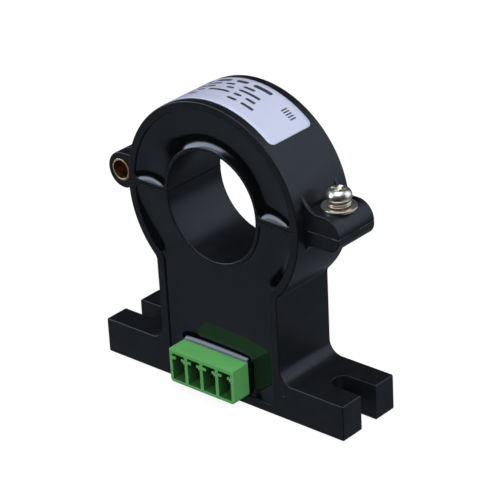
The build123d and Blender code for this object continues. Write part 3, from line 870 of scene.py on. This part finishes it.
def makeResinSkin(name, body, nodeName, outline, spec, island=None):
    plain = divided(tidyOutline(outline), resinFill["step"])
    outline = bulged(plain)
    island = island and divided(island, resinFill["step"])
    spots, faces = triangulated(*meshPoints(outline, island))
    if island:
        centres = np.array([spots[list(face)].mean(axis=0) for face in faces])
        faces = [face for face, gone in zip(faces, isInside(centres, island)) if not gone]
    kinds = [wallKind(x, z, spec["centre"]) for x, z in plain] + ["socket"] * len(island or [])
    walls = np.array(plain + (island or []))
    given = np.array([spec[kind] for kind in kinds], dtype=float)
    neckEnd = min(w[1] for w, kind in zip(walls, kinds) if kind == "ring")
    for i, kind in enumerate(kinds):
        given[i, (0, 2)] *= liveliness(kind, *walls[i], neckEnd)
    count = len(outline)
    for _ in range(3):  # evened out along the wall
        wall = given[:count, (0, 2)]
        given[:count, (0, 2)] = (np.roll(wall, 1, 0) + wall * 2 + np.roll(wall, -1, 0)) / 4
    walls = np.array(bulged([tuple(w) for w in walls]))
    atWall = distanceTo(spots, outline) < 1e-3
    closest = np.linalg.norm(spots[atWall][:, None, :] - walls[None, :count, :], axis=2).argmin(axis=1)
    atSocket = distanceTo(spots, island) < 1e-3 if island else []
    fields = []
    for column in (0, 2):
        held = np.full(len(spots), np.nan)
        held[atWall] = given[closest, column]
        if island:
            held[atSocket] = spec["socket"][column]
        fields.append(settled(spots, faces, held, nearby(spots, walls, given[:, column + 1])))
    (rateX, shiftX), (rateZ, shiftZ) = resinFill["waveAcross"], resinFill["waveUp"]
    ripple = np.sin(spots[:, 0] * rateX + shiftX) * np.sin(spots[:, 1] * rateZ + shiftZ)
    height = resinFill["level"] - fields[0] + fields[1] + resinFill["wave"] * ripple
    piece = sheet(name, [toXZ(p[0], p[1], y) for p, y in zip(spots, height)],
                  [toXZ(p[0], p[1], resinFill["back"]) for p in spots], faces)
    finishPiece(piece, body, pottingResin, "resin", nodeName, angle=50)


# The socket, its pins, and the small hardware.

socket = {"pitch": 3.81, "ways": 4, "shift": -1.05, "side": 0.3, "floor": 2.0, "top": 8.95, "front": -11.67,
          "back": -2.475, "wall": 0.75, "topWall": 0.85, "floorWall": 0.6, "backWall": 1.5, "corner": 0.7,
          "keyHalf": 0.7, "keyHeight": 0.57, "keySlot": 0.6, "edge": 0.13, "mouthEdge": 0.07,
          "paintedShadeFrom": 1.1, "floorPaintedShadeFrom": 3.0,  # depths at which painted shade starts on the chambers' walls and floors
          "pinHalf": 0.5, "pinCorner": 0.08, "pinTip": -10.07, "pinTail": 0.725, "pinLevel": 5.475,
          # how far in and how far along the point of a pin lies at each step, then where it is full
          "pinPoint": ((0.24, 0), (0.2, 0.03), (0.03, 0.3)), "pinFull": 0.38, "pinEnd": (0.08, 0.1)}


def socketOutline():
    s = socket
    half = (s["ways"] * s["pitch"] + 2 * s["side"]) / 2
    left, right, r = s["shift"] - half, s["shift"] + half, s["corner"]
    return (arc(left + r, s["floor"] + r, r, 180, 270, 8) + arc(right - r, s["floor"] + r, r, 270, 360, 8)
            + [(right, s["top"]), (left, s["top"])])


def pinPlaces():
    middle = (socket["ways"] - 1) / 2
    return [socket["shift"] + (number - middle) * socket["pitch"] for number in range(socket["ways"])]


def chamber(x):
    s = socket
    left, right = x - (s["pitch"] - s["wall"]) / 2, x + (s["pitch"] - s["wall"]) / 2
    slotTop = s["top"] - s["topWall"]
    ribTop = slotTop - s["keySlot"]
    ribFloor = ribTop - s["keyHeight"]
    keyLeft, keyRight = x - s["keyHalf"], x + s["keyHalf"]
    floor = s["floor"] + s["floorWall"]
    return [(left, floor), (right, floor), (right, ribFloor), (keyRight, ribFloor), (keyRight, ribTop),
            (right, ribTop), (right, slotTop), (left, slotTop), (left, ribTop), (keyLeft, ribTop),
            (keyLeft, ribFloor), (left, ribFloor)]


def makeSocket():
    s = socket
    piece = softSlab("terminalSocket", socketOutline(), s["front"], s["back"], s["edge"])
    end = s["back"] - s["backWall"]
    for x in pinPlaces():
        cut(piece, softCutter("chamber", chamber(x), s["front"], end, s["mouthEdge"], steps=3))
    finishPiece(piece, "base", socketPlastic, "socket", "terminal_header")
    piece.data.materials.append(socketPaintedShade)
    # faces deep in the chambers take the darker copy: painted shade
    for face in piece.data.polygons:
        x, y, z = face.center / mm
        shell = distanceTo(np.array([(x, z)]), socketOutline())[0]
        deep = s["front"] + (s["floorPaintedShadeFrom"] if face.normal.z > 0.7 else s["paintedShadeFrom"])
        if deep < y < s["back"] - 0.1 and shell > s["floorWall"] - 0.1:
            face.material_index = 1
    for number, x in enumerate(pinPlaces(), start=1):
        makePin(number, x)


def makePin(number, x):
    # square pin with softened edges and a blunt pyramid at its tip
    s = socket
    square = roundedBox(s["pinHalf"], s["pinHalf"], s["pinCorner"], 3, x, s["pinLevel"])
    inset, length = s["pinEnd"]
    levels = [(grown(square, -inwards), s["pinTip"] + along) for inwards, along in s["pinPoint"]]
    levels += [(square, s["pinTip"] + s["pinFull"]), (square, s["pinTail"] - length),
               (grown(square, -inset), s["pinTail"])]
    finishPiece(loft(f"socketPin{number}", levels), "base", tinPlate, "pin", f"header_pin_{number}", angle=50)


def rolledProfile(inner, outer, low, high, edge, steps=4):
    # cross-section of a washer or tube with rolled edges
    def corner(radius, height, startAngle):
        return arc(radius, height, edge, startAngle, startAngle + 90, steps)
    return (corner(inner + edge, low + edge, 180) + corner(outer - edge, low + edge, 270)
            + corner(outer - edge, high - edge, 0) + corner(inner + edge, high - edge, 90))


def makeHingePin():
    half = hinge["half"]
    profile = rolledProfile(hinge["pinInner"], hinge["pinOuter"], -half, half, hinge["pinEdge"])
    piece = lathe("hingePin", profile, (hinge["x"], 0, ring["parting"]), "Y")
    finishPiece(piece, "jaw", brassTube, "brass", "hinge_pin", angle=60)
    piece.data.materials.append(brassPaintedShade)
    # faces of the bore take the darker copy: painted shade
    for face in piece.data.polygons:
        x, _, z = face.center / mm
        if hypot(x - hinge["x"], z - ring["parting"]) < hinge["pinInner"] + 0.02:
            face.material_index = 1


flatWasher = {"seat": 42.6, "bore": 1.4, "radius": 3.3, "thickness": 0.5, "edge": 0.11}


def makeFlatWasher():
    w = flatWasher
    profile = rolledProfile(w["bore"], w["radius"], 0, w["thickness"], w["edge"])
    piece = lathe("flatWasher", profile, (lug["screw"], 0, w["seat"]), steps=96)
    finishPiece(piece, "washers", nickel, "screw_steel", "flat_washer", angle=60)


springWasher = {"seat": 43.1, "bore": 1.4, "width": 0.9, "thickness": 0.6, "edge": 0.12, "rise": 0.5,
                "turn": 0.94, "start": 130, "endInset": 0.08, "steps": 72}


def makeSpringWasher():
    # almost a full turn of flat wire that rises from one end to the other
    w = springWasher
    mean = w["bore"] + w["width"] / 2
    section = roundedBox(w["width"] / 2, w["thickness"] / 2, w["edge"], 3)
    rings = []
    for i in range(w["steps"] + 1):
        share = i / w["steps"]
        angle = radians(w["start"]) + 2 * pi * w["turn"] * share
        middle = w["seat"] + w["thickness"] / 2 + w["rise"] * share
        wire = grown(section, -w["endInset"] if i in (0, w["steps"]) else 0.0)
        rings.append([toXY(lug["screw"] + (mean + a) * cos(angle), (mean + a) * sin(angle), middle + b)
                      for a, b in wire])
    finishPiece(skinned("springWasher", rings), "washers", nickel, "screw_steel", "spring_washer", angle=50)


screw = {"headFoot": 44.22, "foot": 1.9, "footMiddle": 1.92, "footRound": 0.1, "shankLength": 8.0,
         "shankTop": 0.3, "crest": 1.17, "root": 0.98, "pitch": 0.45, "around": 32, "perPitch": 8,
         "runIn": 0.5, "runOut": (-0.35, -0.75), "tip": (0.25, 0.3),
         # pan head above its rounded foot, as (radius, height)
         "head": [(2.2, 0.25), (2.33, 0.42), (2.39, 0.62), (2.4, 0.85), (2.37, 1.1), (2.3, 1.34),
                  (2.17, 1.58), (1.99, 1.8), (1.77, 1.97), (1.52, 2.09), (1.28, 2.14), (1.05, 2.15),
                  (0, 2.15)],
         # wings of the cross recess from the bottom up, as (length, width, height from the head's top)
         "recessTurn": 18, "recess": [(0.3, 0.3, -1.3), (1.2, 0.5, -0.95), (2.55, 0.6375, -0.16),
                                      (2.95, 0.87, 0.05)]}


def threadedShank():
    # a helical thread that runs out under the head and at the tip
    s = screw
    top, bottom = s["shankTop"], -s["shankLength"]
    rows = int((top - bottom) / s["pitch"] * s["perPitch"])
    chamfer, chamferLength = s["tip"]
    rings = []
    for j in range(rows + 1):
        height = bottom + (top - bottom) * j / rows
        fade = ramp(height, bottom, bottom + s["runIn"]) * ramp(height, *s["runOut"])
        spots = []
        for i in range(s["around"]):
            phase = (height / s["pitch"] - i / s["around"]) % 1.0
            ridge = ramp(abs(2 * phase - 1), 5 / 6, 1 / 6)
            radius = s["root"] + (s["crest"] - s["root"]) * ridge * fade
            radius -= chamfer * ramp(height, bottom + chamferLength, bottom)
            angle = 2 * pi * i / s["around"]
            spots.append(toXY(lug["screw"] + radius * cos(angle), radius * sin(angle),
                              s["headFoot"] + height))
        rings.append(spots)
    return skinned("shank", rings)


def turnedBox(length, width, angle):
    turn = radians(angle)
    return [(lug["screw"] + x * cos(turn) - y * sin(turn), x * sin(turn) + y * cos(turn))
            for x, y in box(-length / 2, length / 2, -width / 2, width / 2)]


def makeScrew():
    s = screw
    profile = [(0, 0), (s["foot"], 0)]
    profile += arc(s["footMiddle"], s["footRound"], s["footRound"], -90, -30, 3) + s["head"]
    piece = lathe("clampScrew", profile, (lug["screw"], 0, s["headFoot"]), steps=80)
    top = s["headFoot"] + s["head"][-1][1]
    for turn in (s["recessTurn"], s["recessTurn"] + 90):
        levels = [(turnedBox(length, width, turn), top + height) for length, width, height in s["recess"]]
        cut(piece, loft("wing", levels, toXY))
    join(piece, threadedShank())
    finishPiece(piece, "screw", nickel, "screw_steel", "clamp_screw", angle=38)


insert = {"outer": 1.9, "bore": 1.25, "top": 39.09, "length": 2.6, "rim": 0.1, "boreLow": 0.12,
          "boreTop": 0.18, "groove": 0.2, "grooveFrom": 1.05, "grooveTo": 1.55}


def makeInsert():
    # plain brass insert with a groove round its middle
    s = insert
    o, b, n, rim, groove = s["outer"], s["bore"], s["length"], s["rim"], s["groove"]
    profile = [(b, s["boreLow"]), (b + s["boreLow"], 0), (o - rim, 0), (o, rim), (o, s["grooveFrom"]),
               (o - groove, s["grooveFrom"] + rim), (o - groove, s["grooveTo"] - rim), (o, s["grooveTo"]),
               (o, n - rim), (o - rim, n), (b + s["boreTop"], n), (b, n - s["boreTop"])]
    piece = lathe("clampInsert", profile, (lug["screw"], 0, s["top"] - n), steps=72)
    finishPiece(piece, "base", brassTube, "brass", "clamp_insert", angle=25)


labelSheet = {"angle": 43.0, "width": 11.4, "shift": -0.1, "thickness": 0.12, "corner": 1.2, "radius": 20.0,
              "step": 0.5, "rimWidth": 0.03, "clear": 0.35, "columns": 60, "rows": 12, "under": 0.004}


def makeLabel():
    # thin film with rounded corners, laid over the ring
    s = labelSheet
    halfAlong, halfAcross = radians(s["angle"]) * s["radius"], s["width"] / 2
    outline = divided(roundedBox(halfAlong, halfAcross, s["corner"], 8), s["step"])
    grid = np.array([(-halfAlong + 2 * halfAlong * i / s["columns"], -halfAcross + s["width"] * j / s["rows"])
                     for i in range(s["columns"] + 1) for j in range(s["rows"] + 1)])
    inner = grid[isInside(grid, grown(outline, -s["clear"]))]
    points = outline + grown(outline, -s["rimWidth"]) + [tuple(p) for p in inner]
    spots, faces = triangulated(points, ringEdges(len(outline)))
    rim = distanceTo(spots, outline) < 0.01

    def onRing(along, across, lift):
        turn = along / s["radius"]
        radius = s["radius"] + lift
        x, z = bulged([(radius * sin(turn), ring["parting"] + radius * cos(turn))])[0]
        return toXZ(x, z, across + s["shift"])

    top = [onRing(a, b, s["thickness"] - s["rimWidth"] * atRim) for (a, b), atRim in zip(spots, rim)]
    piece = sheet("ratingLabel", top, [onRing(a, b, s["under"]) for a, b in spots], faces)
    finishPiece(piece, "jaw", labelFilm, "label", "rating_label", angle=50)


makeResinSkin("lowerResin", "base", "lower_potting", lowerPocket(), resinFill["lower"],
              tidyOutline(socketOutline()))
makeResinSkin("upperResin", "jaw", "upper_potting", upperPocket(), resinFill["upper"])
print("resin made")
makeSocket()
makeHingePin()
makeFlatWasher()
makeSpringWasher()
makeScrew()
makeInsert()
makeLabel()
print("socket, hardware and label made")

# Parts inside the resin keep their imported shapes.
insideFinish = {"core_lower_left": coreSteel, "core_lower_right": coreSteel, "core_upper": coreSteel,
                "hall_element": chipEpoxy, "circuit_board": boardMask, "amplifier_chip": chipEpoxy,
                "voltage_regulator": chipEpoxy, "zero_trimmer": trimmerBlue, "gain_trimmer": trimmerBlue,
                "input_capacitor": capacitorTan, "output_capacitor": capacitorTan}
insideFinish.update({f"resistor_{number}": chipEpoxy for number in range(1, 5)})
for nodeName, material in insideFinish.items():
    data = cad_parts[nodeName].data
    data.materials.clear()
    data.materials.append(material)


# Camera, floor, lamps and the reflection tent.

photoCamera = {"position": (269.56, -295.72, 226.45), "azimuth": 42.105, "elevation": 26.472, "roll": -3.159,
               "lens": 174.27, "sensor": 36, "clip": 0.01}


def makeCamera():
    settings = photoCamera
    data = bpy.data.cameras.new("photoCamera")
    camera = bpy.data.objects.new("photoCamera", data)
    bpy.context.collection.objects.link(camera)
    az, el = radians(settings["azimuth"]), radians(settings["elevation"])
    back = Vector((sin(az) * cos(el), -cos(az) * cos(el), sin(el)))
    right = Vector((0, 0, 1)).cross(back).normalized()
    up = back.cross(right)
    roll = radians(settings["roll"])
    right, up = right * cos(roll) + up * sin(roll), up * cos(roll) - right * sin(roll)
    turn = Matrix((right, up, back)).transposed().to_4x4()
    camera.matrix_world = Matrix.Translation(Vector(settings["position"]) * mm) @ turn
    data.lens = settings["lens"]
    data.sensor_width = settings["sensor"]
    data.clip_start = settings["clip"]
    bpy.context.scene.camera = camera


studio = {"floorSize": 3.0, "floorDrop": 0.0005, "floorGlow": 0.9, "floorTone": 0.16, "worldFill": 0.3,
          "tentRadius": 1.2, "tint": (0.71, 0.82, 1.0, 1), "horizon": 0.012, "wall": 0.05, "wallRise": 14.0,
          # softboxes: azimuth from the socket side towards +X, elevation, half widths, softness, strength
          "boxes": [(-54, 17, 28, 10, 5, 3.3), (-54, 28, 28, 20, 18, 2.6), (136, 14, 29, 19, 14, 1.25),
                    (136, 43, 29, 10, 12, 1.65), (25, 60, 50, 10, 12, 2.5), (40, 80, 180, 9, 8, 3.0),
                    (-140, -6, 40, 8, 10, 0.11)],
          # lower card: its top edge from azimuth to azimuth, how soft that is, and the dark gap at the front
          "cardEdge": (-78.0, -54.0, -15.0, -20.0), "cardSoft": 2.0, "low": 0.27, "lowDark": 0.01,
          "gapMiddle": 25.0, "gapHalf": (39.0, 45.0)}


def newStage(name, bm, material):
    piece = newPiece(name, bm)
    piece.data.materials.append(material)
    return piece


def glowMaterial(name):
    material = bpy.data.materials.new(name)
    material.use_nodes = True
    tree = material.node_tree
    tree.nodes.clear()
    return material, tree, tree.nodes.new("ShaderNodeOutputMaterial")


def seenDirectly(tree):
    # 1 for the camera, mirrors and glass, 0 for diffuse light
    path = addNode(tree, "ShaderNodeLightPath").outputs
    reflected = doMath(tree, "MAXIMUM", path["Is Glossy Ray"], path["Is Transmission Ray"])
    return doMath(tree, "MAXIMUM", path["Is Camera Ray"], reflected)


def makeFloor():
    # pale floor that shows white and still keeps the object's shadow
    material, tree, out = glowMaterial("floorPaper")
    strength = times(tree, seenDirectly(tree), studio["floorGlow"])
    glow = addNode(tree, "ShaderNodeEmission", {"Strength": strength})
    tone = studio["floorTone"]
    paper = addNode(tree, "ShaderNodeBsdfDiffuse", {"Color": (tone, tone, tone, 1)})
    both = addNode(tree, "ShaderNodeAddShader", {0: glow.outputs[0], 1: paper.outputs[0]})
    tree.links.new(both.outputs[0], out.inputs["Surface"])
    bm = bmesh.new()
    h, level = studio["floorSize"], -studio["floorDrop"]
    bm.faces.new([bm.verts.new((x, y, level)) for x, y in box(-h, h, -h, h)])
    floor = newStage("floor", bm, material)
    floor.visible_glossy = False


def makeTent():
    # a tent that only reflections see: dim card all round with soft boxes on it
    material, tree, out = glowMaterial("tentCard")
    x, y, z = ownXyz(tree)
    azimuth = times(tree, doMath(tree, "ARCTAN2", x, times(tree, y, -1.0)), 180 / pi)
    flatReach = doMath(tree, "SQRT", doMath(tree, "ADD", times(tree, x, x), times(tree, y, y)))
    elevation = times(tree, doMath(tree, "ARCTAN2", z, flatReach), 180 / pi)
    edge = spread(tree, azimuth, *studio["cardEdge"])  # the lower card's top edge lies higher on the left
    cardSoft = studio["cardSoft"]
    under = spread(tree, doMath(tree, "SUBTRACT", elevation, edge), -cardSoft, cardSoft, 1.0, 0.0)
    frontGap = doMath(tree, "ABSOLUTE", doMath(tree, "SUBTRACT", azimuth, studio["gapMiddle"]))
    lit = spread(tree, frontGap, *studio["gapHalf"], studio["lowDark"], studio["low"])
    over = spread(tree, elevation, 0.0, studio["wallRise"], studio["horizon"], studio["wall"])
    upper = times(tree, doMath(tree, "SUBTRACT", 1.0, under), over)
    glow = doMath(tree, "ADD", times(tree, under, lit), upper)
    for boxAzimuth, boxElevation, halfWidth, halfHeight, soft, strength in studio["boxes"]:
        sideways = doMath(tree, "WRAP", doMath(tree, "SUBTRACT", azimuth, boxAzimuth), 180.0, -180.0)
        upwards = doMath(tree, "SUBTRACT", elevation, boxElevation)
        share = 1.0
        for offset, half in ((sideways, halfWidth), (upwards, halfHeight)):
            offset = doMath(tree, "ABSOLUTE", offset)
            share = times(tree, share, spread(tree, offset, half - soft / 2, half + soft / 2, 1.0, 0.0))
        glow = doMath(tree, "MULTIPLY_ADD", share, strength, glow)
    shine = addNode(tree, "ShaderNodeEmission", {"Color": studio["tint"], "Strength": glow})
    tree.links.new(shine.outputs[0], out.inputs["Surface"])
    bm = bmesh.new()
    bmesh.ops.create_icosphere(bm, subdivisions=4, radius=studio["tentRadius"])
    tent = newStage("reflectionTent", bm, material)
    tent.visible_camera = tent.visible_diffuse = tent.visible_shadow = tent.visible_transmission = False


def makeWorld():
    world = bpy.data.worlds.new("studioWorld")
    world.use_nodes = True
    bpy.context.scene.world = world
    tree = world.node_tree
    tree.nodes.clear()
    strength = spread(tree, seenDirectly(tree), 0.0, 1.0, studio["worldFill"], 1.0, "LINEAR")
    glow = addNode(tree, "ShaderNodeBackground", {"Color": (1, 1, 1, 1), "Strength": strength})
    out = tree.nodes.new("ShaderNodeOutputWorld")
    tree.links.new(glow.outputs[0], out.inputs["Surface"])


lamps = [  # name, position in metres, size, power in watts
    ("overheadLamp", (0.42, -0.2, 0.64), 0.6, 4.4),
    ("frontLamp", (0.08, -0.66, 0.5), 0.5, 2.7),
    ("rightLamp", (0.75, -0.1, 0.35), 0.45, 0.15),
]
lampAim = (0, 0, 0.03)


def makeLamps():
    for name, position, size, power in lamps:
        data = bpy.data.lights.new(name, "AREA")
        data.shape = "SQUARE"
        data.size = size
        data.energy = power
        lamp = bpy.data.objects.new(name, data)
        bpy.context.collection.objects.link(lamp)
        lamp.location = position
        lamp.rotation_euler = (Vector(lampAim) - lamp.location).to_track_quat("-Z", "Y").to_euler()
        lamp.visible_glossy = False


makeCamera()
makeFloor()
makeTent()
makeWorld()
makeLamps()
bpy.context.scene.view_settings.view_transform = "Standard"
print("stage made")
